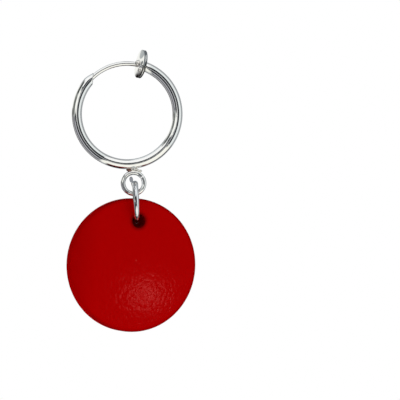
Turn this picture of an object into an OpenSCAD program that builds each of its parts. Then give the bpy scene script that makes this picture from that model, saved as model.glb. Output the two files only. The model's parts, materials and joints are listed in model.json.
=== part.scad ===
// Clip-on drop earring: a spring hoop that grips the lobe between two pads, with a disc on a jump ring.
// The origin is the grip between the pads. +Z is up, and the hoop lies in the XZ plane, seen from -Y.
// Hoop angles are in degrees from +X, counter-clockwise as seen from the front.

/* [Hoop tube] */
// Outer diameter of the hoop
hoop_d = 16.6; // [14:0.1:20]
// Outer diameter of the tube that the hoop is bent from
tube_d = 1.5; // [1.4:0.05:1.8]
// Bore of the tube, which the wire slides in
bore_d = 1.0; // [0.9:0.05:1.1]
// Where on the hoop the two pads meet
grip_angle = 75; // [70:1:80]
// Where the tube's slanted mouth starts, on its outer side
mouth_outer_angle = 125; // [123:1:130]
// Where the tube's slanted mouth ends, on its inner side
mouth_inner_angle = 137; // [134:1:142]

/* [Sliding wire] */
// Diameter of the wire
wire_d = 0.68; // [0.6:0.02:0.7]
// Length of the wire's hidden tail inside the tube, in degrees of the hoop
wire_tail = 28; // [20:1:40]
// Diameter of the solder collar that holds the wire on its pad
collar_d = 0.95; // [0.9:0.05:1.1]
// Length of that collar, with the part inside the pad
collar_l = 0.8; // [0.6:0.05:1]

/* [Pads] */
// Diameter of each round pad
pad_d = 4.5; // [4:0.1:5]
// Thickness of the sheet that the pads are stamped from
pad_sheet = 0.2; // [0.2:0.05:0.35]
// How deep each pad's gripping face is dished
pad_dish = 0.25; // [0.1:0.05:0.35]
// How far the pads are turned from square to the hoop, in degrees
pad_turn = 15; // [0:1:20]
// Gap between the rims of the closed pads
pad_gap = 0.1; // [0.1:0.01:0.3]

/* [Loop under the hoop] */
// Outer diameter of the loop
loop_d = 3.85; // [3.6:0.05:4.2]
// Diameter of the loop's wire
loop_wire_d = 0.7; // [0.6:0.05:0.8]
// Where the loop is soldered, in degrees to the right of the hoop's foot
loop_offset = 4.6; // [0:0.2:6]
// Clear space between the hoop's outside and the loop, which solder fills
loop_seat = 0.2; // [0.1:0.05:0.3]
// Where the loop's closed seam is, in degrees from +X
loop_seam_angle = 36; // [20:1:50]
// Width of that seam
loop_seam = 0.08; // [0.05:0.01:0.15]

/* [Jump ring] */
// Outer diameter of the jump ring
ring_d = 5.7; // [5.6:0.1:6.4]
// Diameter of the jump ring's wire
ring_wire_d = 0.85; // [0.8:0.01:0.88]
// How far the jump ring is turned about the vertical, in degrees
ring_turn = 2; // [0:1:8]
// How far the jump ring has slid up the loop, to the right, in degrees of the loop
ring_lean = 6; // [0:1:8]
// How far each half of the ring leans away from the other, in degrees
ring_twist = 2; // [0:0.5:3]
// Width of the slit between the ring's cut ends
ring_slit = 0.2; // [0.1:0.05:0.4]
// How far the slit lies behind the top of the ring, in degrees
slit_angle = 12; // [0:1:25]

/* [Disc] */
// Diameter of the disc
disc_d = 20; // [18:0.5:24]
// Thickness of the disc
disc_t = 2; // [1.6:0.1:2.2]
// Radius that its edge is rounded to
disc_edge_r = 0.35; // [0.2:0.05:0.6]
// Diameter of the hole
hole_d = 2.05; // [2:0.05:2.2]
// Distance from the disc's rim to the middle of the hole
hole_inset = 3.25; // [3.1:0.05:3.4]
// Width of the bevel at each mouth of the hole
hole_bevel = 0.2; // [0.15:0.01:0.25]
// How far the disc is turned about the vertical, in degrees
disc_turn = 21.5; // [10:0.5:22]
// How far the disc hangs to the left of plumb, in degrees
disc_swing = 7; // [0:1:8]

/* [Clearance] */
// Gap left where one link hangs on the next
link_gap = 0.1; // [0.08:0.01:0.15]
// How far the middle of the hole hangs below the middle of the ring's wire
hole_drop = 0.14; // [0.1:0.01:0.2]

/* [Hidden] */
$fn = 96;

// Degrees in a whole turn
full_turn = 360;
// Middle of the hoop and of its wire
hoop_r = (hoop_d - tube_d) / 2;
hoop_x = -hoop_r * cos(grip_angle);
hoop_z = -hoop_r * sin(grip_angle);
// Distance from the middle of the grip to the middle of each pad's sheet, at the pad's centre
pad_seat = pad_gap / 2 + pad_dish + pad_sheet / 2;
// Radius of the ball that the pads are dished over
dish_r = (pad_d * pad_d / 4 + pad_dish * pad_dish) / (2 * pad_dish);
// Solid stretch of tube behind the fixed pad, where the bore stops
plug_angle = 7;

// Loop: its middle
loop_r = (loop_d - loop_wire_d) / 2;
loop_reach = hoop_d / 2 + loop_seat + loop_d / 2;
drop_x = hoop_x + loop_reach * sin(loop_offset);
loop_z = hoop_z - loop_reach * cos(loop_offset);

// Jump ring: how far its middle and its foot, the lowest stretch of its wire, are from the loop's middle
ring_r = (ring_d - ring_wire_d) / 2;
ring_reach = loop_r - loop_wire_d / 2 - link_gap - ring_wire_d / 2 + ring_r;
foot_reach = ring_reach + ring_r;
foot_x = drop_x + foot_reach * sin(ring_lean);
foot_z = loop_z - foot_reach * cos(ring_lean);
// The ring's halves stop this many degrees short of its foot, inside the bead that joins them
foot_angle = 2;
foot_bead_d = ring_wire_d + 0.05;
// The slit's half width, in degrees of the ring
slit_half = ring_slit / 2 / ring_r * 180 / PI;

// Disc: how far its hole is from its middle, and its middle from the ring's foot
hole_reach = disc_d / 2 - hole_inset;
disc_reach = hole_reach + hole_drop;

// Overlap that keeps cuts clear of the faces that they pass through
cut = 1;

// Moves its children to an angle on the hoop: local X points outwards and local Z counter-clockwise
module on_hoop(angle) {
    translate([hoop_x, 0, hoop_z])
        rotate([0, -angle, 0])
            translate([hoop_r, 0, 0])
                children();
}

// An arc of round wire or tube in the XZ plane, round its own centre
module arc(radius, thickness, start, stop) {
    rotate([90, 0, 0])
        rotate([0, 0, start])
            rotate_extrude(angle = stop - start)
                translate([radius, 0])
                    circle(d = thickness);
}

// An arc of the hoop's own circle
module hoop_arc(thickness, start, stop) {
    translate([hoop_x, 0, hoop_z])
        arc(hoop_r, thickness, start, stop);
}

// Turns its children to face along the grip: local Z points out of the sliding pad's back
module in_grip() {
    rotate([0, -grip_angle, 0])
        rotate([pad_turn, 0, 0])
            children();
}

// Round pad of dished sheet: its rim starts at height 0, and its back rises from there
module pad() {
    ball_z = pad_dish - dish_r;
    rotate_extrude()
        intersection() {
            translate([0, ball_z])
                difference() {
                    circle(r = dish_r + pad_sheet, $fn = 360);
                    circle(r = dish_r, $fn = 360);
                }
            square([pad_d / 2, pad_dish + pad_sheet + cut]);
        }
}

// Space on the grip side of a pad's middle layer, which tube and wire must not reach
module grip_space() {
    reach = tube_d + cut;
    translate([-reach, -reach, -pad_seat])
        cube([2 * reach, 2 * reach, 2 * pad_seat]);
}

// Space beyond the slanted plane that the tube's mouth is cut along
module mouth_space() {
    outer = [hoop_d / 2 * cos(mouth_outer_angle), hoop_d / 2 * sin(mouth_outer_angle)];
    inner_r = hoop_r - tube_d / 2;
    inner = [inner_r * cos(mouth_inner_angle), inner_r * sin(mouth_inner_angle)];
    slope = atan2(outer[1] - inner[1], outer[0] - inner[0]);
    span = norm(outer - inner) + 2 * cut;
    translate([hoop_x + inner[0], 0, hoop_z + inner[1]])
        rotate([0, 90 - slope, 0])
            translate([0, -tube_d, -cut])
                cube([hoop_r / 2, 2 * tube_d, span]);
}

// Closed loop that the jump ring hangs in, with its butted seam
module loop() {
    half_seam = loop_seam / 2 / loop_r * 180 / PI;
    translate([drop_x, 0, loop_z])
        arc(loop_r, loop_wire_d, loop_seam_angle + half_seam, loop_seam_angle + full_turn - half_seam);
}

// Beads of solder between the hoop's foot and the loop
module solder() {
    bead_r = [0.42, 0.34];
    bead_offset = [loop_offset - 2.1, loop_offset + 1.4];
    bead_seat = [0.05, 0.2];
    for (i = [0 : 1])
        on_hoop(bead_offset[i] - 90)
            translate([tube_d / 2 + bead_seat[i], 0, 0])
                sphere(r = bead_r[i]);
}

// Hollow tube with the fixed pad on its end and the loop soldered under it
module hoop_tube() {
    tube_end = grip_angle + full_turn;
    color("silver")
        union() {
            difference() {
                hoop_arc(tube_d, mouth_outer_angle - 2, tube_end);
                hoop_arc(bore_d, mouth_outer_angle - 4, tube_end - plug_angle);
                mouth_space();
                in_grip()
                    grip_space();
            }
            in_grip()
                mirror([0, 0, 1])
                    translate([0, 0, pad_gap / 2])
                        pad();
            loop();
            solder();
        }
}

// Sprung wire that slides in the tube, with its own pad
module slide_wire() {
    color("silver")
        union() {
            difference() {
                hoop_arc(wire_d, grip_angle, mouth_inner_angle + wire_tail);
                in_grip()
                    grip_space();
            }
            in_grip()
                translate([0, 0, pad_gap / 2])
                    pad();
            in_grip()
                translate([0, 0, pad_seat])
                    cylinder(d1 = collar_d, d2 = wire_d, h = collar_l);
        }
}

// Half of the jump ring, from beside its foot up to the slit: side is -1 in front and 1 behind
module ring_half(side) {
    top_angle = side > 0 ? 90 + slit_angle + slit_half : 90 + slit_angle - slit_half;
    start = side > 0 ? top_angle : -90 + foot_angle;
    stop = side > 0 ? 270 - foot_angle : top_angle;
    translate([0, 0, -ring_r])
        rotate([0, -side * ring_twist, 0])
            translate([0, 0, ring_r])
                rotate([0, 0, -90])
                    arc(ring_r, ring_wire_d, start, stop);
}

// Jump ring, sprung a little open, so that its cut ends stand side by side
module jump_ring() {
    color("lightsteelblue")
        translate([drop_x, 0, loop_z])
            rotate([0, -ring_lean, 0])
                translate([0, 0, -ring_reach])
                    rotate([0, 0, ring_turn])
                        union() {
                            ring_half(-1);
                            ring_half(1);
                            translate([0, 0, -ring_r])
                                sphere(d = foot_bead_d);
                        }
}

// Half of the disc's section, from its middle out to the rounded rim
module disc_section() {
    disc_r = disc_d / 2;
    flat_r = disc_r - disc_edge_r;
    translate([0, -disc_t / 2])
        square([flat_r, disc_t]);
    translate([0, -disc_t / 2 + disc_edge_r])
        square([disc_r, disc_t - 2 * disc_edge_r]);
    for (side = [-1, 1])
        translate([flat_r, side * (disc_t / 2 - disc_edge_r)])
            circle(r = disc_edge_r);
}

// Hole for the jump ring, bevelled at both mouths
module hole() {
    cylinder(d = hole_d, h = disc_t + 2 * cut, center = true);
    for (side = [-1, 1])
        rotate([side > 0 ? 0 : 180, 0, 0])
            translate([0, 0, disc_t / 2 - hole_bevel])
                cylinder(d1 = hole_d, d2 = hole_d + 4 * hole_bevel, h = 2 * hole_bevel);
}

// Flat round drop with one hole near its rim
module disc() {
    color("firebrick")
        translate([foot_x, 0, foot_z])
            rotate([0, 0, disc_turn])
                rotate([0, disc_swing, 0])
                    translate([0, 0, -disc_reach])
                        rotate([90, 0, 0])
                            difference() {
                                rotate_extrude()
                                    disc_section();
                                translate([0, hole_reach, 0])
                                    hole();
                            }
}

hoop_tube();
slide_wire();
jump_ring();
disc();
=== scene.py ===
import json
import math

import bpy
from mathutils import Matrix, Vector


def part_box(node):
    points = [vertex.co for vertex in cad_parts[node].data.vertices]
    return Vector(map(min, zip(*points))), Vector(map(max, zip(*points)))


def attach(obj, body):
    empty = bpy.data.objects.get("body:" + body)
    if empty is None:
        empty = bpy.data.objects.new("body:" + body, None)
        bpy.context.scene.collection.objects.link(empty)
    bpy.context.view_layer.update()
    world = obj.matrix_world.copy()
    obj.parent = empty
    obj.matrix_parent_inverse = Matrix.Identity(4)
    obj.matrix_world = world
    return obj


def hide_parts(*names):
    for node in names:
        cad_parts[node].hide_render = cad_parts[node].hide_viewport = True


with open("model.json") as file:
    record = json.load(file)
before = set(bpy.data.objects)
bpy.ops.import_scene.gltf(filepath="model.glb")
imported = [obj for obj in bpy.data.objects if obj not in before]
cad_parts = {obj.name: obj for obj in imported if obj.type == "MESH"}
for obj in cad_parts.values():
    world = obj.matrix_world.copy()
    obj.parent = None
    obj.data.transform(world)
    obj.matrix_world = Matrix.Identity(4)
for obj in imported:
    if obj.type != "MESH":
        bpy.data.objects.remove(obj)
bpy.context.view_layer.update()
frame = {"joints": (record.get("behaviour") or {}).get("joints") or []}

# Pieces are modelled in millimetres, as on the bench, and brought down to metres when they are finished.
mm = 0.001
weldReach = 0.0005
cutTolerance = 1e-5
jointPlaces = {joint["name"]: Vector(joint["pos_m"]) / mm for joint in frame["joints"]}
jointAxes = {joint["name"]: Vector(joint["axis"]) for joint in frame["joints"]}
hoopCentre = jointPlaces["wire_slide"]
loopSeat = jointPlaces["ring_swing"]  # middle of the loop's wire where the jump ring hangs
ringFoot = jointPlaces["disc_swing"]  # middle of the jump ring's lowest stretch of wire
ringAxis = jointAxes["ring_swing"]
discNormal = jointAxes["disc_swing"]  # out of the disc's front face
upRing = Vector((-ringAxis.z, 0, ringAxis.x))  # from the jump ring's foot to its top, leaning as it hangs
ringLean = math.atan2(-upRing.x, upRing.z)
hoopLow = Vector(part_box("hoop_tube")[0]) / mm
discLow, discHigh = (Vector(cornerShade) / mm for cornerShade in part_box("disc"))


# Helpers that do what a hand does between two tools

def setMode(mode):
    if bpy.context.object and bpy.context.object.mode != mode:
        bpy.ops.object.mode_set(mode=mode)


# A primitive in edit mode, selected all over, with its place in its mesh
def startPiece(name, addPrimitive, **settings):
    setMode("OBJECT")
    bpy.ops.object.select_all(action="DESELECT")
    addPrimitive(**settings)
    piece = bpy.context.object
    piece.name = piece.data.name = name
    bpy.ops.object.transform_apply(location=True, rotation=True, scale=True)
    bpy.ops.object.mode_set(mode="EDIT")
    bpy.ops.mesh.select_all(action="SELECT")
    return piece


# Selects by place and by the way it faces; narrow only takes away from what is selected
def pick(piece, kind, test, narrow=False):
    bpy.ops.mesh.select_mode(type=kind)
    bpy.ops.object.mode_set(mode="OBJECT")
    mesh = piece.data
    parts = {"VERT": mesh.vertices, "EDGE": mesh.edges, "FACE": mesh.polygons}[kind]
    wanted = []
    for part in parts:
        if kind == "VERT":
            middle, normal = part.co, part.normal
        elif kind == "EDGE":
            ends = [mesh.vertices[index] for index in part.vertices]
            middle, normal = (ends[0].co + ends[1].co) / 2, (ends[0].normal + ends[1].normal) / 2
        else:
            middle, normal = part.center, part.normal
        wanted.append((part.select or not narrow) and bool(test(middle, normal)))
    for group in (mesh.vertices, mesh.edges, mesh.polygons):
        group.foreach_set("select", [False] * len(group))
    parts.foreach_set("select", wanted)
    bpy.ops.object.mode_set(mode="EDIT")
    bpy.ops.mesh.select_mode(type=kind)


def pickOpenEdges(piece, test):
    bpy.ops.mesh.select_mode(type="EDGE")
    bpy.ops.mesh.select_all(action="DESELECT")
    bpy.ops.mesh.select_non_manifold(use_wire=False, use_multi_face=False, use_non_contiguous=False,
                                     use_verts=False)
    pick(piece, "EDGE", test, narrow=True)


def pickSharpEdges(degrees):
    bpy.ops.mesh.select_mode(type="EDGE")
    bpy.ops.mesh.select_all(action="DESELECT")
    bpy.ops.mesh.edges_select_sharp(sharpness=math.radians(degrees))


# Moves what is selected and, fading out over the reach, what lies near it
def pull(move, value, reach, connected=True, **settings):
    move(value=value, use_proportional_edit=True, use_proportional_connected=connected,
         proportional_size=reach, proportional_edit_falloff="SMOOTH", **settings)


def applyModifier(piece, kind, **settings):
    setMode("OBJECT")
    modifier = piece.modifiers.new(kind.lower(), kind)
    for key, value in settings.items():
        setattr(modifier, key, value)
    bpy.ops.object.modifier_apply(modifier=modifier.name)


def joinTo(piece):  # what is selected becomes part of the piece
    setMode("OBJECT")
    piece.select_set(True)
    bpy.context.view_layer.objects.active = piece
    bpy.ops.object.join()


def closeShell():  # doubles merged first, then all faces turned outwards
    bpy.ops.mesh.select_all(action="SELECT")
    bpy.ops.mesh.remove_doubles(threshold=weldReach)
    bpy.ops.mesh.normals_make_consistent(inside=False)


def placePiece(piece, matrix):  # turns and moves the mesh itself
    setMode("OBJECT")
    piece.matrix_world = matrix
    bpy.ops.object.transform_apply(location=True, rotation=True, scale=True)


def pointing(axis):
    return axis.to_track_quat("Z", "Y").to_matrix().to_4x4()


def finishPiece(piece, material, body, nodes=(), sharpFrom=40):
    placePiece(piece, Matrix.Scale(mm, 4))
    bpy.ops.object.shade_smooth_by_angle(angle=math.radians(sharpFrom))
    piece.data.materials.append(material)
    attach(piece, body)
    if nodes:
        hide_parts(*nodes)
    print("made", piece.name, len(piece.data.polygons), "faces")


# Places on the hoop: angles in degrees from +X, counter-clockwise as seen from the front

def onHoop(degrees, radius, y=0.0):
    turn = math.radians(degrees)
    return hoopCentre + Vector((radius * math.cos(turn), y, radius * math.sin(turn)))


def hoopAngle(point):
    return math.degrees(math.atan2(point.z - hoopCentre.z, point.x - hoopCentre.x)) % 360


# A rod bent round the origin, in the XZ plane
def spinRod(name, radius, sides, bend, start, sweep, steps):
    turn = math.radians(start)
    place = (bend * math.cos(turn), 0, bend * math.sin(turn))
    rod = startPiece(name, bpy.ops.mesh.primitive_circle_add, vertices=sides, radius=radius,
                     fill_type="NOTHING", location=place, rotation=(0, -turn, 0))
    bpy.ops.mesh.spin(steps=steps, angle=math.radians(sweep), center=(0, 0, 0), axis=(0, 1, 0))
    return rod


def closeRodEnds(softening):
    bpy.ops.mesh.select_all(action="SELECT")
    bpy.ops.mesh.fill_holes(sides=0)
    closeShell()
    pickSharpEdges(60)
    bpy.ops.mesh.bevel(offset=softening, segments=4, affect="EDGES")


# Helpers for materials, whose lengths are in millimetres too

def linear(hexCode):
    colour = []
    for start in (0, 2, 4):
        value = int(hexCode[start:start + 2], 16) / 255
        colour.append(value / 12.92 if value <= 0.04045 else ((value + 0.055) / 1.055) ** 2.4)
    return (*colour, 1.0)


def addNode(tree, kind, inputs=None, **settings):
    node = tree.nodes.new(kind)
    for key, value in settings.items():
        setattr(node, key, value)
    for key, value in (inputs or {}).items():
        if isinstance(value, bpy.types.NodeSocket):
            tree.links.new(value, node.inputs[key])
        else:
            node.inputs[key].default_value = value
    return node


def newMaterial(name, **shaderValues):
    material = bpy.data.materials.new(name)
    material.use_nodes = True
    tree = material.node_tree
    tree.nodes.clear()
    place = addNode(tree, "ShaderNodeTexCoord").outputs["Object"]
    shader = addNode(tree, "ShaderNodeBsdfPrincipled", shaderValues)
    addNode(tree, "ShaderNodeOutputMaterial", {"Surface": shader.outputs["BSDF"]})
    print("mixed", name)
    return material, tree, place, shader


# Soft ripples that bend the light, cloud the colour between two tones and vary the roughness
def ripple(tree, place, shader, length, depth, tones, roughness=None, scale=(1, 1, 1)):
    stretched = addNode(tree, "ShaderNodeMapping", {"Vector": place, "Scale": scale}).outputs[0]
    waves = addNode(tree, "ShaderNodeTexNoise", {"Vector": stretched, "Scale": 1 / (length * mm),
                    "Detail": 1.5})
    height = waves.outputs["Fac"]
    bump = addNode(tree, "ShaderNodeBump", {"Height": height, "Distance": depth * mm})
    tree.links.new(bump.outputs["Normal"], shader.inputs["Normal"])
    if roughness:
        sheen = addNode(tree, "ShaderNodeMapRange", {"Value": height, "From Min": 0.3, "From Max": 0.7,
                        "To Min": roughness[0], "To Max": roughness[1]}, interpolation_type="SMOOTHSTEP")
        tree.links.new(sheen.outputs["Result"], shader.inputs["Roughness"])
    clouded = addNode(tree, "ShaderNodeMix", {"Factor": height, "A": linear(tones[0]), "B": linear(tones[1])},
                      data_type="RGBA")
    return clouded.outputs["Result"]


# A tone over the colour, none of it where the value is none and all of it where the value is full
def layTone(tree, colour, value, none, full, tone, strength=1.0, label=""):
    mask = addNode(tree, "ShaderNodeMapRange", {"Value": value, "From Min": none, "From Max": full,
                   "To Max": strength}, interpolation_type="SMOOTHSTEP")
    mixed = addNode(tree, "ShaderNodeMix", {"Factor": mask.outputs["Result"], "A": colour, "B": tone},
                    data_type="RGBA", label=label)
    return mixed.outputs["Result"]


def offPoint(tree, place, middle):  # distance from a point
    apart = addNode(tree, "ShaderNodeVectorMath", {0: place, 1: middle * mm}, operation="DISTANCE")
    inMm = addNode(tree, "ShaderNodeMath", {0: apart.outputs["Value"], 1: 1 / mm}, operation="MULTIPLY")
    return inMm.outputs[0]


def offLine(tree, place, middle, axis):  # distance from a line
    arm = addNode(tree, "ShaderNodeVectorMath", {0: place, 1: middle * mm}, operation="SUBTRACT")
    cross = addNode(tree, "ShaderNodeVectorMath", {0: arm.outputs[0], 1: axis}, operation="CROSS_PRODUCT")
    length = addNode(tree, "ShaderNodeVectorMath", {0: cross.outputs[0]}, operation="LENGTH")
    inMm = addNode(tree, "ShaderNodeMath", {0: length.outputs["Value"], 1: 1 / mm}, operation="MULTIPLY")
    return inMm.outputs[0]


def alongLine(tree, place, middle, axis):  # how far along the axis, counted from the middle
    arm = addNode(tree, "ShaderNodeVectorMath", {0: place, 1: middle * mm}, operation="SUBTRACT")
    along = addNode(tree, "ShaderNodeVectorMath", {0: arm.outputs[0], 1: axis / mm}, operation="DOT_PRODUCT")
    return along.outputs["Value"]


# Hoop tube: its mouth's two angles are where the slant cuts the outside and the inside of the hoop, its spare
# length is cut off there, and its lip is pressed in on the wire

tubeShape = {"outer": 0.75, "bore": 0.5, "sides": 64, "steps": 420, "gripAngle": 75,
             "mouthOuter": 128, "mouthInner": 140, "spare": 5, "flattening": 0.82, "flatReach": 2.6,
             "lipRounding": 0.04, "lipPress": 0.22, "borePress": 0.35, "lipReach": 1.8}
hoopBend = hoopCentre.x - hoopLow.x - tubeShape["outer"]


def makePolishedSilver():  # silver plate polished in a barrel: a crisp mirror, faintly rippled by the bending
    material, tree, place, shader = newMaterial("silverPlateBarrelPolished", Metallic=1.0)
    colour = ripple(tree, place, shader, 1.1, 0.012, ("f2f3f2", "fdfdfb"), roughness=(0.03, 0.08))
    tree.links.new(colour, shader.inputs["Base Color"])
    return material


silver = makePolishedSilver()


def makeHoopTube():
    shape = tubeShape
    start = shape["mouthOuter"] - shape["spare"]
    sweep = shape["gripAngle"] + 360 - start
    tube = spinRod("hoop_tube_bent", shape["outer"], shape["sides"], hoopBend, start, sweep, shape["steps"])
    spinRod("hoop_tube_bore", shape["bore"], shape["sides"], hoopBend, start, sweep, shape["steps"])
    joinTo(tube)
    placePiece(tube, Matrix.Translation(hoopCentre))
    bpy.ops.object.mode_set(mode="EDIT")

    # The mouth end is pressed a little flat on the wire, then its outer lip and its bore are pressed in
    pick(tube, "VERT", lambda at, facing: start - 1 < hoopAngle(at) < shape["mouthOuter"] + 3)
    pull(bpy.ops.transform.resize, (1, shape["flattening"], 1), shape["flatReach"],
         center_override=hoopCentre)
    inward = (hoopCentre - onHoop(shape["mouthOuter"], 1)).normalized()
    for wall, depth in ((shape["outer"], shape["lipPress"]),
                        (shape["bore"], shape["lipPress"] * shape["borePress"])):
        pick(tube, "VERT", lambda at, facing: start - 1 < hoopAngle(at) < shape["mouthOuter"] + 1
             and abs((at - hoopCentre).length - hoopBend - wall) < 0.05)
        pull(bpy.ops.transform.translate, inward * depth, shape["lipReach"])

    # Mouth cut on a slant, then the wall between its two rims is filled and its edges rounded
    lipOuter = onHoop(shape["mouthOuter"], hoopBend + shape["outer"])
    lipInner = onHoop(shape["mouthInner"], hoopBend - shape["outer"])
    along = (lipOuter - lipInner).normalized()
    slant = Vector((along.z, 0, -along.x))
    mouthEnd = (100, 160)  # degrees on the hoop
    pick(tube, "FACE", lambda at, facing: mouthEnd[0] < hoopAngle(at) < mouthEnd[1])
    bpy.ops.mesh.bisect(plane_co=lipInner, plane_no=slant, clear_outer=True, threshold=cutTolerance)
    pickOpenEdges(tube, lambda at, facing: mouthEnd[0] < hoopAngle(at) < mouthEnd[1])
    bpy.ops.mesh.fill(use_beauty=True)
    pick(tube, "FACE", lambda at, facing: mouthEnd[0] < hoopAngle(at) < mouthEnd[1]
         and abs((at - lipInner).dot(slant)) < 0.005)
    bpy.ops.mesh.region_to_loop()
    bpy.ops.mesh.bevel(offset=shape["lipRounding"], segments=4, affect="EDGES")

    # The other end stops inside the fixed pad
    padEnd = (55, 80)  # degrees on the hoop
    pick(tube, "FACE", lambda at, facing: padEnd[0] < hoopAngle(at) < padEnd[1])
    bpy.ops.mesh.bisect(plane_co=gripMiddle - gripAxis * padBack, plane_no=gripAxis, clear_outer=True,
                        threshold=cutTolerance)
    pickOpenEdges(tube, lambda at, facing: padEnd[0] < hoopAngle(at) < padEnd[1])
    bpy.ops.mesh.fill(use_beauty=True)
    closeShell()
    finishPiece(tube, silver, "hoop", nodes=["hoop_tube"])


# Pads: dished round blanks of thin sheet, turned and leaned against the hoop's own line

padShape = {"radius": 2.25, "sheet": 0.2, "dish": 0.25, "rimHeight": 0.03, "rimRounding": 0.06, "gap": 0.03,
            "turn": 19, "lean": -3.5, "along": 0.09, "outward": 0.2, "segments": 96, "rings": 180}
gripTurn = (Matrix.Rotation(math.radians(padShape["lean"] - tubeShape["gripAngle"]), 4, "Y")
            @ Matrix.Rotation(math.radians(padShape["turn"]), 4, "X"))
gripAxis = gripTurn @ Vector((0, 0, 1))  # out of the sliding pad's back
gripOut = gripTurn @ Vector((1, 0, 0))  # away from the hoop's middle
gripNear = gripTurn @ Vector((0, -1, 0))  # towards the front
gripMiddle = gripOut * padShape["outward"] - gripAxis * padShape["along"]
padBack = padShape["gap"] / 2 + padShape["dish"] + padShape["sheet"] / 2
# The sheared edge begins between from and to, off the pad's axis; painted shade darkens it towards the bottom
# and fades between low and high, outwards
padEdge = {"from": 2.0, "to": 2.12, "low": -0.7, "high": 0.2}
# Painted reflections and shadow on the back: name, how far outwards and towards the front on the back's face,
# where it is full, where it ends, colour
padPaintedShade = [
    ("paintedGreyTop", (1.75, 0.6), 0.9, 1.15, "a0a6aa"),
    ("fluxBeadShadow", (0.15, 1.5), 0.15, 0.42, "2c3840"),
    ("paintedDarkTip", (-2.2, 0.2), 0.35, 0.8, "241d1b"),
]


# Silver-plated sheet, sheared: a mirror on its back, with a painted grey reflection at the top, a painted
# shadow by the solder and a painted dark reflection at the tip, and a greyer and rougher edge with painted
# shade that is darkest at the bottom
def makeShearedSheet():
    material, tree, place, shader = newMaterial("silverPlateShearedSheet", Metallic=1.0)
    colour = ripple(tree, place, shader, 0.9, 0.006, ("eeefee", "fbfbf9"))
    outwards = alongLine(tree, place, gripMiddle, gripOut)
    # Painted shade greys the edge and darkens it most at the bottom, over its rougher sheared finish
    edge = layTone(tree, linear("5c5b57"), outwards, padEdge["low"], padEdge["high"], linear("959a9e"))
    toAxis = offLine(tree, place, gripMiddle, gripAxis)
    colour = layTone(tree, colour, toAxis, padEdge["from"], padEdge["to"], edge)
    # Painted grey reflection at the top, painted shadow by the solder and painted dark reflection at the tip
    for name, (out, near), full, gone, hexCode in padPaintedShade:
        spot = gripMiddle + gripOut * out + gripNear * near + gripAxis * padBack
        colour = layTone(tree, colour, offPoint(tree, place, spot), gone, full, linear(hexCode), label=name)
    tree.links.new(colour, shader.inputs["Base Color"])
    sheen = addNode(tree, "ShaderNodeMapRange", {"Value": toAxis, "From Min": padEdge["from"],
                    "From Max": padEdge["to"], "To Min": 0.06, "To Max": 0.32},
                    interpolation_type="SMOOTHSTEP")
    tree.links.new(sheen.outputs["Result"], shader.inputs["Roughness"])
    return material


shearedSheet = makeShearedSheet()


def makePad(name, side, body):  # side 1 is the sliding pad, -1 the fixed one
    shape = padShape
    ball = (shape["radius"] ** 2 + shape["dish"] ** 2) / (2 * shape["dish"])
    pad = startPiece(name, bpy.ops.mesh.primitive_uv_sphere_add, segments=shape["segments"],
                     ring_count=shape["rings"], radius=ball, location=(0, 0, shape["dish"] - ball))
    bpy.ops.mesh.bisect(plane_co=(0, 0, shape["rimHeight"]), plane_no=(0, 0, 1), clear_inner=True,
                        threshold=cutTolerance)
    applyModifier(pad, "SOLIDIFY", thickness=shape["sheet"], offset=1, use_rim=True)
    bpy.ops.object.mode_set(mode="EDIT")
    pickSharpEdges(50)
    pick(pad, "EDGE", lambda at, facing: at.z > shape["sheet"] / 2, narrow=True)
    bpy.ops.mesh.bevel(offset=shape["rimRounding"], segments=4, affect="EDGES")
    flip = Matrix.Identity(4) if side > 0 else Matrix.Rotation(math.radians(180), 4, "X")
    apart = Matrix.Translation((0, 0, shape["gap"] / 2))
    placePiece(pad, Matrix.Translation(gripMiddle) @ gripTurn @ flip @ apart)
    finishPiece(pad, shearedSheet, body)


# Sliding wire, whose tail in degrees is hidden in the tube

wireShape = {"radius": 0.34, "sides": 32, "steps": 100, "tail": 28, "endRounding": 0.08}


def makeSlideWire():
    shape = wireShape
    start = tubeShape["gripAngle"]
    sweep = tubeShape["mouthInner"] + shape["tail"] - start
    wire = spinRod("slide_wire_drawn", shape["radius"], shape["sides"], hoopBend, start, sweep,
                   shape["steps"])
    placePiece(wire, Matrix.Translation(hoopCentre))
    bpy.ops.object.mode_set(mode="EDIT")
    padEnd = 95  # degrees on the hoop
    pick(wire, "FACE", lambda at, facing: hoopAngle(at) < padEnd)
    bpy.ops.mesh.bisect(plane_co=gripMiddle + gripAxis * padBack, plane_no=gripAxis, clear_inner=True,
                        threshold=cutTolerance)
    closeRodEnds(shape["endRounding"])
    finishPiece(wire, silver, "wire", nodes=["slide_wire"])


# Loop under the hoop, its seam in millimetres and at an angle from +X

loopShape = {"bend": 1.575, "radius": 0.35, "sides": 32, "steps": 96, "seamAngle": 36, "seam": 0.08,
             "endRounding": 0.05, "right": 0.12}


def makeLoop():
    shape = loopShape
    halfSeam = math.degrees(shape["seam"] / 2 / shape["bend"])
    loop = spinRod("loop_soldered", shape["radius"], shape["sides"], shape["bend"],
                   shape["seamAngle"] + halfSeam, 360 - 2 * halfSeam, shape["steps"])
    closeRodEnds(shape["endRounding"])
    placePiece(loop, Matrix.Translation(loopSeat + upRing * shape["bend"] + Vector((shape["right"], 0, 0))))
    finishPiece(loop, silver, "hoop")


# Jump ring: sprung, rearAside and rearUp say how far its open ends were left out of true, and pinch scales
# the tip of the rear end across the ring, along its wire and upwards

ringShape = {"bend": 2.425, "radius": 0.45, "sides": 36, "steps": 150, "slit": 0.2, "slitAngle": 100,
             "turn": 2, "frontLean": 4, "rearLean": -5.3, "endRounding": 0.1,
             "sprung": 0.6, "springReach": 1.2, "pinch": (-0.6, 0, 0.85), "pinchReach": 1.0,
             "rearAside": 0.6, "rearUp": 0.85, "rearReach": 1.2}
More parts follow.
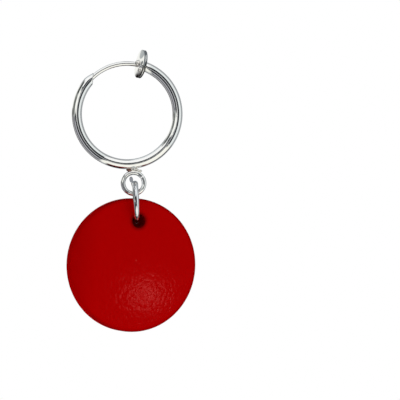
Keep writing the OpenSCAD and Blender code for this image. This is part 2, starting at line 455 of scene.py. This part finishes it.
# A dark wavy reflection painted along the middle of the jump ring's wire: its lean, how far and how long it
# wanders, where it is full and where it ends
paintedStreak = {"lean": -2.5, "wander": 0.5, "wanderLength": 0.9, "full": 0.03, "gone": 0.13}
paintedStreakSide = Matrix.Rotation(math.radians(paintedStreak["lean"]), 3, "Y") @ Vector((1, 0, 0))


def makeRhodiumWire():  # rhodium-plated drawn wire: bluish, with a painted dark reflection in a wavy streak along the middle of the wire
    material, tree, place, shader = newMaterial("rhodiumPlateDrawnWire", Metallic=1.0)
    colour = ripple(tree, place, shader, 0.55, 0.016, ("e2e6ec", "fbfbfb"), roughness=(0.05, 0.12),
                    scale=(1, 1, 0.4))
    waves = addNode(tree, "ShaderNodeTexNoise", {"Vector": place, "Scale": 1 / (paintedStreak["wanderLength"] * mm),
                    "Detail": 2.0})
    sway = addNode(tree, "ShaderNodeMath", {0: waves.outputs["Fac"], 1: paintedStreak["wander"],
                   2: -paintedStreak["wander"] / 2}, operation="MULTIPLY_ADD")
    sideways = alongLine(tree, place, ringFoot, paintedStreakSide)
    offPaintedStreak = addNode(tree, "ShaderNodeMath", {0: sideways, 1: sway.outputs[0]}, operation="ADD")
    offPaintedStreak = addNode(tree, "ShaderNodeMath", {0: offPaintedStreak.outputs[0]}, operation="ABSOLUTE")
    colour = layTone(tree, colour, offPaintedStreak.outputs[0], paintedStreak["gone"], paintedStreak["full"], linear("3c4650"),
                     strength=0.85)
    tree.links.new(colour, shader.inputs["Base Color"])
    return material


rhodiumWire = makeRhodiumWire()


def makeJumpRing():
    shape = ringShape
    halfSlit = math.degrees(shape["slit"] / 2 / shape["bend"])
    ring = spinRod("jump_ring_wound", shape["radius"], shape["sides"], shape["bend"],
                   shape["slitAngle"] + halfSlit, 360 - 2 * halfSlit, shape["steps"])
    closeRodEnds(shape["endRounding"])
    placePiece(ring, Matrix.Rotation(math.radians(-90), 4, "Z"))
    bpy.ops.object.mode_set(mode="EDIT")
    slitFromTop = shape["slitAngle"] - 90

    def behindSlit(at, lifted=0):
        return math.degrees(math.atan2(at.y, at.z - lifted)) > slitFromTop

    # The two halves lean as the pliers leave them, and the open ends spring up
    for side, lean in ((-1, shape["frontLean"]), (1, shape["rearLean"])):
        pick(ring, "VERT", lambda at, facing: behindSlit(at) == (side > 0) and (at.z > 0 or abs(at.y) > 0.03))
        bpy.ops.transform.rotate(value=math.radians(side * lean), orient_axis="Y",
                                 center_override=(0, 0, -shape["bend"]))
    pick(ring, "VERT", lambda at, facing: at.z > shape["bend"] * 0.9)
    pull(bpy.ops.transform.translate, (0, 0, shape["sprung"]), shape["bend"] * shape["springReach"],
         connected=False)

    # The rear end as the cutters left it: its tip is squeezed flat and turned over past a narrow waist, then
    # bent up and to the left
    fromTop = Matrix.Rotation(math.radians(90 - shape["slitAngle"] - halfSlit), 3, "X")
    rearEnd = fromTop @ Vector((0, 0, shape["bend"])) + Vector((0, 0, shape["sprung"]))
    bends = ((bpy.ops.transform.resize, shape["pinch"], shape["pinchReach"]),
             (bpy.ops.transform.translate, (-shape["rearAside"], 0, shape["rearUp"]), shape["rearReach"]))
    for move, value, reach in bends:
        pick(ring, "VERT", lambda at, facing: behindSlit(at, shape["sprung"])
             and math.hypot(at.y - rearEnd.y, at.z - rearEnd.z) < shape["radius"] + 0.15)
        pull(move, value, reach)
    hung = Matrix.Translation(ringFoot + upRing * shape["bend"]) @ Matrix.Rotation(-ringLean, 4, "Y")
    placePiece(ring, hung @ Matrix.Rotation(math.radians(shape["turn"]), 4, "Z"))
    finishPiece(ring, rhodiumWire, "ring", nodes=["jump_ring"])


# Solder: balls melted together, laid on the seams. A row of the seam is an angle on the hoop, how far the
# ball stands off the tube and its radius. A row of the collar is how far it is up the wire and its radius.

solderShape = {"voxel": 0.045, "seamDrawn": 1.5, "collarDrawn": 0.36, "runDrawn": 0.26, "filletDrawn": 0.25,
               "seam": ((-87.6, 0.05, 0.34), (-84.5, 0.16, 0.36), (-81, 0.3, 0.3), (-77.5, 0.5, 0.22)),
               "collar": ((0.0, 0.58), (0.25, 0.45)), "fillet": 0.95,
               "run": 0.36, "runDown": 0.95, "runNear": 0.95}
fluxStain = {"angle": -88.5, "radius": 8.5, "y": -0.2, "full": 0.25, "gone": 0.6}


def makeTinSolder():  # tin solder melted by a torch: duller and warmer than the plate, with a stain of flux
    material, tree, place, shader = newMaterial("tinSolderTorchMelted", Metallic=1.0, Roughness=0.16)
    colour = ripple(tree, place, shader, 0.4, 0.012, ("d8d2c8", "fcfbf8"))
    toStain = offPoint(tree, place, onHoop(fluxStain["angle"], fluxStain["radius"], fluxStain["y"]))
    colour = layTone(tree, colour, toStain, fluxStain["gone"], fluxStain["full"], linear("8a685e"))
    tree.links.new(colour, shader.inputs["Base Color"])
    return material


tinSolder = makeTinSolder()


def meltTogether(name, balls, body):  # each ball: middle, radius, how far it is drawn out, along which axis
    lump = None
    for middle, radius, drawn, axis in balls:
        ball = startPiece(name, bpy.ops.mesh.primitive_uv_sphere_add, segments=32, ring_count=20, radius=1)
        drawnOut = Matrix.Diagonal((radius, radius, drawn, 1))
        placePiece(ball, Matrix.Translation(middle) @ pointing(axis) @ drawnOut)
        if lump:
            joinTo(lump)
        lump = bpy.context.object
    applyModifier(lump, "REMESH", mode="VOXEL", voxel_size=solderShape["voxel"], adaptivity=0.0)
    applyModifier(lump, "SMOOTH", factor=0.5, iterations=6)
    finishPiece(lump, tinSolder, body, sharpFrom=180)


def makeSolder():
    shape = solderShape
    rim = hoopBend + tubeShape["outer"]
    beads = []
    for turn, off, radius in shape["seam"]:
        along = onHoop(turn + 1, rim) - onHoop(turn, rim)
        beads.append((onHoop(turn, rim + off), radius, radius * shape["seamDrawn"], along))
    meltTogether("solder_at_loop", beads, "hoop")
    back = gripMiddle + gripAxis * padBack
    run = back - gripOut * shape["runDown"] + gripNear * shape["runNear"]
    balls = [(back + gripAxis * up, radius, shape["collarDrawn"], gripAxis) for up, radius in shape["collar"]]
    balls.append((run, shape["run"], shape["runDrawn"], gripAxis))
    meltTogether("solder_at_sliding_pad", balls, "wire")
    fillet = (gripMiddle - gripAxis * padBack, shape["fillet"], shape["filletDrawn"], gripAxis)
    meltTogether("solder_at_fixed_pad", [fillet], "hoop")


# Disc: the hole is a bowl from each face with a flared mouth, and a narrow neck between them

discShape = {"radius": 10, "thick": 2, "edge": 0.35, "sides": 192, "rings": 12, "ringWide": 0.65,
             "raised": 0.1, "holeUp": 6.65, "hole": 1.025, "mouth": 0.28, "flareSteps": 6,
             "bowl": 0.97, "bowlRounding": 0.45, "neckUp": 6.79, "neck": 0.485, "neckFlat": 0.94,
             "speckRight": 0.3, "speckUp": 0.75}
discTurn = math.atan2(discNormal.x, -discNormal.y)
boxMiddle = (discLow + discHigh) / 2
upDisc = (ringFoot - boxMiddle - discNormal * (ringFoot - boxMiddle).dot(discNormal)).normalized()
rightDisc = upDisc.cross(discNormal)
discMiddle = boxMiddle + upDisc * discShape["raised"]
faceMiddle = discMiddle + discNormal * discShape["thick"] / 2


# Red lacquer sprayed on wood: a deep even red, with painted shade that darkens it at the left, at the rim and
# in the hole. Its grain keeps the sheen soft, and is drawn coarser than the real one so that it shows.
def makeRedLacquer():
    material, tree, place, shader = newMaterial("woodRedLacquerSprayed")
    upright = addNode(tree, "ShaderNodeMapping", {"Vector": place, "Rotation": (0, 0, -discTurn)}).outputs[0]
    colour = ripple(tree, upright, shader, 0.5, 0.017, ("b80001", "bf0001"), roughness=(0.07, 0.12),
                    scale=(1.2, 1, 0.8))
    toRim = offLine(tree, place, discMiddle, discNormal)
    front, right, up = (alongLine(tree, place, discMiddle, axis) for axis in (discNormal, rightDisc, upDisc))
    # Painted shade: darker towards the left and towards the rim
    colour = layTone(tree, colour, right, -5, -9.5, linear("ae0001"))
    colour = layTone(tree, colour, toRim, 9.4, 9.8, linear("ac0001"))

    # Painted shade darkens the rim's two corners: the back one all round, the front one except at the left
    offMiddle = addNode(tree, "ShaderNodeMath", {0: front}, operation="ABSOLUTE").outputs[0]
    offLevel = addNode(tree, "ShaderNodeMath", {0: up}, operation="ABSOLUTE").outputs[0]
    offLeft = addNode(tree, "ShaderNodeMath", {0: offLevel, 1: 0.3, 2: right},
                      operation="MULTIPLY_ADD").outputs[0]
    cornerShade = 0.0
    for operation, value, none, full in (("ADD", front, -0.5, -0.75), ("MAXIMUM", offLeft, -5, -2),
                                         ("MULTIPLY", toRim, 9.8, 9.94), ("MULTIPLY", offMiddle, 0.4, 0.65)):
        mask = addNode(tree, "ShaderNodeMapRange", {"Value": value, "From Min": none, "From Max": full},
                       interpolation_type="SMOOTHSTEP").outputs["Result"]
        cornerShade = addNode(tree, "ShaderNodeMath", {0: mask, 1: cornerShade}, operation=operation).outputs[0]
    colour = addNode(tree, "ShaderNodeMix", {"Factor": cornerShade, "A": colour, "B": linear("80080b")},
                     data_type="RGBA").outputs["Result"]

    # Painted shade darkens the hole and the face round its mouth
    toHole = offLine(tree, place, discMiddle + upDisc * discShape["holeUp"], discNormal)
    colour = layTone(tree, colour, toHole, 1.7, 0.75, linear("5c0002"))
    speck = faceMiddle + rightDisc * discShape["speckRight"] + upDisc * discShape["speckUp"]
    colour = layTone(tree, colour, offPoint(tree, place, speck), 0.2, 0.06, linear("c83a34"), strength=0.6)
    tree.links.new(colour, shader.inputs["Base Color"])
    gleam = addNode(tree, "ShaderNodeMapRange", {"Value": toRim, "From Min": 9.2, "From Max": 9.7,
                    "To Min": 0.05, "To Max": 0.0}, interpolation_type="SMOOTHSTEP")
    tree.links.new(gleam.outputs["Result"], shader.inputs["Specular IOR Level"])
    shader.inputs["Specular Tint"].default_value = linear("ff7a76")
    return material


lacquer = makeRedLacquer()


def cutAway(piece, cutter):
    setMode("OBJECT")
    bpy.ops.object.select_all(action="DESELECT")
    bpy.context.view_layer.objects.active = piece
    piece.select_set(True)
    applyModifier(piece, "BOOLEAN", object=cutter, operation="DIFFERENCE", solver="EXACT")
    bpy.data.objects.remove(cutter)


def makeBowl(side):  # side 1 is the back of the disc, -1 the front, which still faces -Y here
    shape = discShape
    face = side * shape["thick"] / 2
    stub = 1.0
    bowl = startPiece("hole_bowl", bpy.ops.mesh.primitive_cylinder_add, vertices=64, radius=shape["hole"],
                      depth=stub, rotation=(math.radians(90), 0, 0), location=(0, face, shape["holeUp"]))
    pick(bowl, "VERT", lambda at, facing: side * at.y < side * face)
    bpy.ops.transform.translate(value=(0, -side * (shape["bowl"] - stub / 2), 0))
    pick(bowl, "FACE", lambda at, facing: side * facing.y < -0.9)
    bpy.ops.mesh.bevel(offset=shape["bowl"] * shape["bowlRounding"], segments=6, affect="EDGES")
    pick(bowl, "FACE", lambda at, facing: side * facing.y > 0.9)
    bpy.ops.transform.translate(value=(0, -side * stub / 2, 0))
    pick(bowl, "FACE", lambda at, facing: side * facing.y > 0.9)
    wide = shape["hole"]
    rise = 0.0
    for step in range(1, shape["flareSteps"] + 1):  # the mouth flares out to the face
        turn = math.radians(90 * step / shape["flareSteps"])
        nextWide = shape["hole"] + shape["mouth"] * (1 - math.cos(turn))
        nextRise = shape["mouth"] * math.sin(turn)
        bpy.ops.mesh.extrude_region_move(TRANSFORM_OT_translate={"value": (0, side * (nextRise - rise), 0)})
        bpy.ops.transform.resize(value=(nextWide / wide, 1, nextWide / wide),
                                 center_override=(0, 0, shape["holeUp"]))
        wide = nextWide
        rise = nextRise
    closeShell()
    return bowl


def makeDisc():
    shape = discShape
    flat = (math.radians(90), 0, 0)
    disc = startPiece("disc_turned", bpy.ops.mesh.primitive_cylinder_add, vertices=shape["sides"],
                      radius=shape["radius"], depth=shape["thick"], rotation=flat)
    pickSharpEdges(60)
    bpy.ops.mesh.bevel(offset=shape["edge"], segments=8, affect="EDGES")
    for ring in range(shape["rings"]):
        pick(disc, "FACE", lambda at, facing: abs(facing.y) > 0.999 and math.hypot(at.x, at.z) < 0.01)
        bpy.ops.mesh.inset(thickness=shape["ringWide"])
    for side in (-1, 1):
        cutAway(disc, makeBowl(side))

    # The neck goes round the jump ring: a narrow web left in the hole stands in for the shade seen through it
    neck = startPiece("hole_neck", bpy.ops.mesh.primitive_cylinder_add, vertices=48, radius=shape["neck"],
                      depth=shape["thick"] * 1.5, rotation=flat, location=(0, 0, shape["neckUp"]))
    bpy.ops.transform.resize(value=(1, 1, shape["neckFlat"]), center_override=(0, 0, shape["neckUp"]))
    cutAway(disc, neck)
    turned = Matrix((rightDisc, -discNormal, upDisc)).transposed().to_4x4()
    placePiece(disc, Matrix.Translation(discMiddle) @ turned)
    finishPiece(disc, lacquer, "drop", nodes=["disc"], sharpFrom=50)


makeHoopTube()
makeSolder()
makePad("pad_fixed", -1, "hoop")
makePad("pad_sliding", 1, "wire")
makeSlideWire()
makeLoop()
makeJumpRing()
makeDisc()


# Studio: a tent of cards far away, as the polished metal mirrors it, over a plain pale floor. A card's row
# holds degrees off the lens, degrees round it from +X towards +Z and its colour. A later card hangs in front.

studio = {"tent": "a2a5a8", "edge": 3.0, "sideEdge": 7.0,
          "floorDrop": 35, "floorRadius": 240, "floorGlow": 0.4}
fullTurn = (0, 360)
studioCards = [
    ("whiteTent", (42, 88), fullTurn, "eaefef"),
    ("lensHood", (9, 39), fullTurn, "26282a"),
    ("lensGlass", (-14, 12), fullTurn, "46484c"),
    ("lensGlassLeft", (-14, 12), (118, 246), "9c9ea2"),
    ("lensGlassRight", (-14, 12), (-38, 66), "989a9e"),
    ("upperBox", (28, 86), (68, 143), "ffffff"),
    ("upperVeil", (86, 150), (98, 141), "e2e6e8"),
    ("behindLeft", (118, 189), (95, 146), "9ca2a6"),
    ("behindWhite", (113, 189), (146, 172), "fafaf6"),
    ("behindLow", (118, 189), (172, 236), "302826"),
    ("lowerLeftFolds", (40, 82), (180, 238), "5c5c62"),
    ("lowerLeftFar", (82, 103), (180, 238), "86868a"),
    ("lowerLeftEdge", (103, 130), (180, 238), "b0b0b4"),
    ("lowerLeftStreak", (45, 64), (183, 236), "b8b8be"),
    ("lowerRightBox", (14, 97), (238, 323), "fffef6"),
    ("underCard", (68, 140), (245, 266), "1e1414"),
    ("underEdge", (80, 130), (266, 290), "4a3c38"),
    ("rightEdge", (90, 130), (290, 325), "6a6a6c"),
    ("leftFolds", (55, 98), (138, 158), "464846"),
    ("leftFoldsPale", (52, 98), (158, 180), "6e706c"),
    ("leftEdge", (98, 118), (138, 180), "a0a2a0"),
    ("leftBox", (0, 48), (150, 173), "fffffa"),
]


def window(tree, value, low, high, edge):  # 1 between low and high, fading over the edge's width
    middle = (low + high) / 2
    half = (high - low) / 2
    away = addNode(tree, "ShaderNodeMath", {0: value, 1: middle}, operation="SUBTRACT")
    away = addNode(tree, "ShaderNodeMath", {0: away.outputs[0], 1: 180.0, 2: -180.0}, operation="WRAP")
    away = addNode(tree, "ShaderNodeMath", {0: away.outputs[0]}, operation="ABSOLUTE")
    inside = addNode(tree, "ShaderNodeMapRange", {"Value": away.outputs[0], "From Min": half + edge / 2,
                     "From Max": half - edge / 2}, interpolation_type="SMOOTHSTEP")
    return inside.outputs["Result"]


def hangTent():
    world = bpy.data.worlds.new("studioTent")
    bpy.context.scene.world = world
    world.use_nodes = True
    tree = world.node_tree
    tree.nodes.clear()
    direction = addNode(tree, "ShaderNodeTexCoord").outputs["Generated"]
    axes = addNode(tree, "ShaderNodeSeparateXYZ", {0: direction})
    towardsLens = addNode(tree, "ShaderNodeMath", {0: axes.outputs["Y"], 1: -1.0}, operation="MULTIPLY")
    offLens = addNode(tree, "ShaderNodeMath", {0: towardsLens.outputs[0]}, operation="ARCCOSINE")
    offLens = addNode(tree, "ShaderNodeMath", {0: offLens.outputs[0]}, operation="DEGREES").outputs[0]
    around = addNode(tree, "ShaderNodeMath", {0: axes.outputs["Z"], 1: axes.outputs["X"]},
                     operation="ARCTAN2")
    around = addNode(tree, "ShaderNodeMath", {0: around.outputs[0]}, operation="DEGREES").outputs[0]
    colour = linear(studio["tent"])
    for name, offSpan, aroundSpan, hexCode in studioCards:
        inside = window(tree, offLens, *offSpan, studio["edge"])
        if aroundSpan != fullTurn:
            side = window(tree, around, *aroundSpan, studio["sideEdge"])
            inside = addNode(tree, "ShaderNodeMath", {0: inside, 1: side}, operation="MULTIPLY").outputs[0]
        colour = addNode(tree, "ShaderNodeMix", {"Factor": inside, "A": colour, "B": linear(hexCode)},
                         data_type="RGBA", label=name).outputs["Result"]
    tent = addNode(tree, "ShaderNodeBackground", {"Color": colour, "Strength": 1.0})
    backdrop = addNode(tree, "ShaderNodeBackground", {"Color": linear("ffffff"), "Strength": 1.0})
    seen = addNode(tree, "ShaderNodeLightPath").outputs["Is Camera Ray"]
    both = addNode(tree, "ShaderNodeMixShader", {0: seen, 1: tent.outputs[0], 2: backdrop.outputs[0]})
    addNode(tree, "ShaderNodeOutputWorld", {"Surface": both.outputs[0]})
    print("hung", len(studioCards), "cards")


def layFloor():
    bpy.ops.object.select_all(action="DESELECT")
    bpy.ops.mesh.primitive_circle_add(vertices=96, radius=studio["floorRadius"] * mm, fill_type="NGON",
                                      location=(0, 0, (discLow.z - studio["floorDrop"]) * mm))
    floor = bpy.context.object
    floor.name = "studio_floor"
    floor.visible_glossy = False
    pale, tree, place, shader = newMaterial("floorPaleCard", Roughness=0.9)
    shader.inputs["Base Color"].default_value = linear("f4f4f4")
    shader.inputs["Emission Color"].default_value = linear("ffffff")
    shader.inputs["Emission Strength"].default_value = studio["floorGlow"]
    floor.data.materials.append(pale)
    print("laid the floor")


# Camera, level with the photo's middle: its place is in millimetres and its frame's width is at the hoop

cameraShape = {"lens": 200, "sensorWide": 36, "frameWide": 60, "right": 8.965, "up": -20.208}
cameraAway = cameraShape["frameWide"] * cameraShape["lens"] / cameraShape["sensorWide"]
cameraPlace = Vector((cameraShape["right"], -cameraAway, cameraShape["up"])) * mm


def placeCamera():
    bpy.ops.object.camera_add(location=cameraPlace, rotation=(math.radians(90), 0, 0))
    camera = bpy.context.object
    camera.data.lens = cameraShape["lens"]
    camera.data.clip_start = 0.01
    camera.data.clip_end = 5
    bpy.context.scene.camera = camera
    print("placed the camera")


# Glare box: a small soft box whose mirror image lies low on the disc's face, and which lights the disc alone

glareShape = {"right": 2.5, "down": 4.15, "away": 75, "wide": 4, "watts": 0.0014}


def hangGlareBox():
    shape = glareShape
    spot = faceMiddle + rightDisc * shape["right"] - upDisc * shape["down"]
    toCamera = (cameraPlace / mm - spot).normalized()
    mirrored = 2 * toCamera.dot(discNormal) * discNormal - toCamera
    light = bpy.data.lights.new("glare_box", "AREA")
    light.size = shape["wide"] * mm
    light.energy = shape["watts"]
    box = bpy.data.objects.new("glare_box", light)
    bpy.context.collection.objects.link(box)
    box.matrix_world = Matrix.Translation((spot + mirrored * shape["away"]) * mm) @ pointing(mirrored)
    box.visible_camera = False
    box.visible_diffuse = False
    lit = bpy.data.collections.new("lit_by_glare_box")
    lit.objects.link(bpy.data.objects["disc_turned"])
    box.light_linking.receiver_collection = lit
    print("hung the glare box")


hangTent()
layFloor()
hangGlareBox()
placeCamera()
bpy.context.scene.view_settings.view_transform = "Standard"
